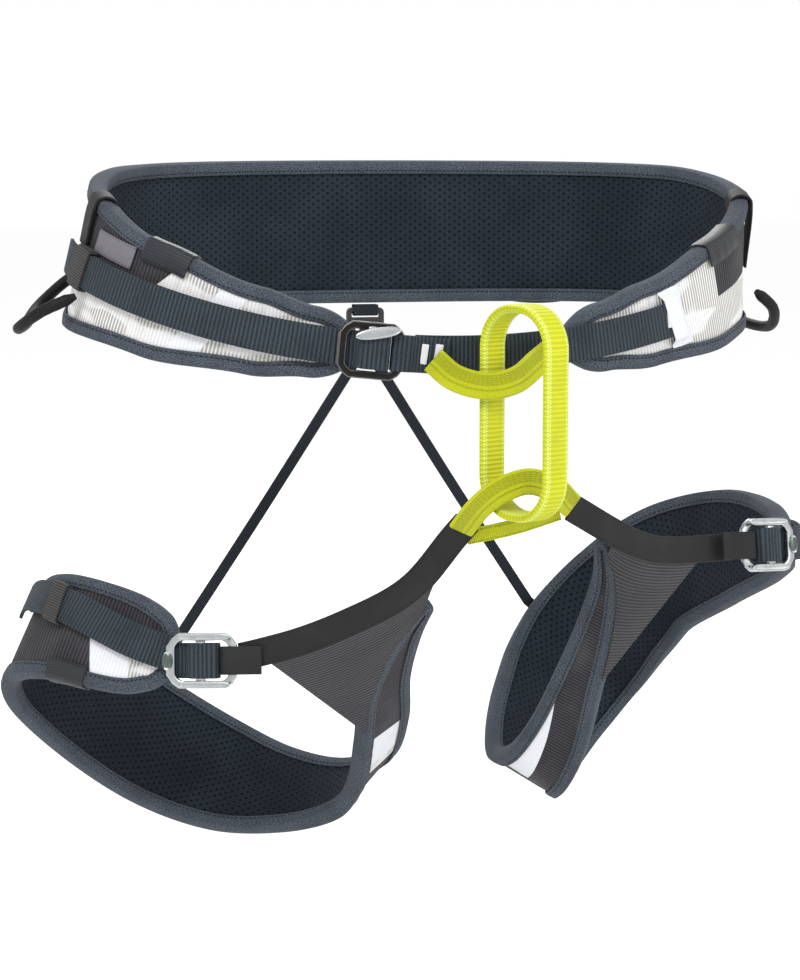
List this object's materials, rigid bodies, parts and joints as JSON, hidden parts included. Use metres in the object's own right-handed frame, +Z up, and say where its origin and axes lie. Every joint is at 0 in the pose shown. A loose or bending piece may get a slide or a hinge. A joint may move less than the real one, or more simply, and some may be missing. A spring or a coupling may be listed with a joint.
{
  "type": "climbing harness",
  "caption": "Padded climbing harness: waist ring with buckle, green tie-in points and belay loop, adjustable leg loops, rear risers and gear loops.",
  "frame": {"origin": "centre of the waist ring's plan ellipse, at the pad's mid height at the back less 6 mm", "axes": "+X to the right as seen from the front, +Y to the back, +Z up"},
  "size_m": [0.4814, 0.3053, 0.4175],
  "materials": {
    "mesh_lining": "open perforated mesh",
    "foam": "closed-cell foam",
    "outer_shell": "ribbed polyester with woven stripes",
    "edge_tape": "melange knit tape",
    "dark_buckle": "dark anodised, worn edges",
    "buckle_bar": "satin",
    "webbing": "cross-ribbed webbing",
    "patch": "ribbed",
    "gear_loop": "matte",
    "buckle_frame": "satin",
    "smooth_tape": "smooth tape",
    "elastic": "elastic tape",
    "gusset": "ribbed semi-sheer",
    "green_webbing": "ribbed webbing",
    "plastic": "matte"
  },
  "bodies": {
    "belt": {"waist_lining": "mesh_lining", "waist_foam": "foam", "waist_shell": "outer_shell", "waist_upper_edge": "edge_tape", "waist_lower_edge": "edge_tape", "waist_buckle_frame": "dark_buckle", "waist_webbing_loop": "webbing", "waist_webbing": "webbing", "waist_tail": "webbing", "front_strap": "webbing", "front_strap_loop": "webbing", "left_patch": "patch", "right_patch": "patch", "upper_tie_in": "green_webbing", "lower_tie_in": "green_webbing", "cross_tape": "green_webbing", "rear_clip": "plastic", "rear_clip_tab": "smooth_tape", "left_riser": "smooth_tape", "right_riser": "smooth_tape", "waist_keeper": "elastic"},
    "belay_ring": {"belay_loop": "green_webbing"},
    "left_leg": {"left_leg_lining": "mesh_lining", "left_leg_foam": "foam", "left_leg_shell": "outer_shell", "left_leg_upper_edge": "edge_tape", "left_leg_lower_edge": "edge_tape", "left_leg_buckle_frame": "buckle_frame", "left_leg_webbing_loop": "webbing", "left_leg_tape": "smooth_tape", "left_leg_tape_fold": "smooth_tape", "left_leg_webbing": "webbing", "left_leg_webbing_tail": "webbing", "left_leg_keeper": "elastic", "left_leg_gusset": "gusset"},
    "right_leg": {"right_leg_lining": "mesh_lining", "right_leg_foam": "foam", "right_leg_shell": "outer_shell", "right_leg_upper_edge": "edge_tape", "right_leg_lower_edge": "edge_tape", "right_leg_buckle_frame": "buckle_frame", "right_leg_webbing_loop": "webbing", "right_leg_tape": "smooth_tape", "right_leg_tape_fold": "smooth_tape", "right_leg_webbing": "webbing", "right_leg_webbing_tail": "webbing", "right_leg_keeper": "elastic", "right_leg_gusset": "gusset"},
    "waist_bar": {"waist_buckle_bar": "buckle_bar"},
    "left_bar": {"left_leg_buckle_bar": "buckle_bar"},
    "right_bar": {"right_leg_buckle_bar": "buckle_bar"},
    "left_front_loop": {"left_front_gear_loop": "gear_loop"},
    "right_front_loop": {"right_front_gear_loop": "gear_loop"},
    "left_rear_loop": {"left_rear_gear_loop": "gear_loop"},
    "right_rear_loop": {"right_rear_gear_loop": "gear_loop"}
  },
  "joints": [
    {"name": "belay_loop_swivel", "type": "hinge", "parent": "belt", "child": "belay_ring", "pos_m": [0.023, -0.148, -0.084], "axis": [0, 0, 1], "range_deg": [-8, 3]},
    {"name": "left_leg_swing", "type": "hinge", "parent": "belt", "child": "left_leg", "pos_m": [-0.007, -0.125, -0.152], "axis": [1, 0, 0], "range_deg": [-12, 22], "stiffness_Nm_per_rad": 8, "deforming": ["left_riser"]},
    {"name": "right_leg_swing", "type": "hinge", "parent": "belt", "child": "right_leg", "pos_m": [0.057, -0.129, -0.139], "axis": [1, 0, 0], "range_deg": [-12, 22], "stiffness_Nm_per_rad": 8, "deforming": ["right_riser"]},
    {"name": "waist_buckle_bar_slide", "type": "slide", "parent": "belt", "child": "waist_bar", "axis": [0.9745, -0.2183, -0.0518], "range_m": [0, 0.003]},
    {"name": "left_buckle_bar_slide", "type": "slide", "parent": "left_leg", "child": "left_bar", "axis": [0.8581, -0.5127, 0.0299], "range_m": [0, 0.003]},
    {"name": "right_buckle_bar_slide", "type": "slide", "parent": "right_leg", "child": "right_bar", "axis": [-0.8822, -0.4675, 0.0558], "range_m": [0, 0.003]},
    {"name": "left_front_gear_loop_flex", "type": "hinge", "parent": "belt", "child": "left_front_loop", "pos_m": [-0.19192, 0.01791, -0.01712], "axis": [0.2681, 0.9504, 0.1579], "range_deg": [-6, 30], "stiffness_Nm_per_rad": 0.3},
    {"name": "right_front_gear_loop_flex", "type": "hinge", "parent": "belt", "child": "right_front_loop", "pos_m": [0.1903, 0.01825, -0.0191], "axis": [0.2666, -0.9482, -0.1725], "range_deg": [-6, 30], "stiffness_Nm_per_rad": 0.3},
    {"name": "left_rear_gear_loop_flex", "type": "hinge", "parent": "belt", "child": "left_rear_loop", "pos_m": [-0.10155, 0.10109, -0.00576], "axis": [0.9519, 0.3064, -0.0028], "range_deg": [-6, 30], "stiffness_Nm_per_rad": 0.3},
    {"name": "right_rear_gear_loop_flex", "type": "hinge", "parent": "belt", "child": "right_rear_loop", "pos_m": [0.10138, 0.1008, -0.00613], "axis": [0.95, -0.3123, -0.0043], "range_deg": [-6, 30], "stiffness_Nm_per_rad": 0.3}
  ]
}
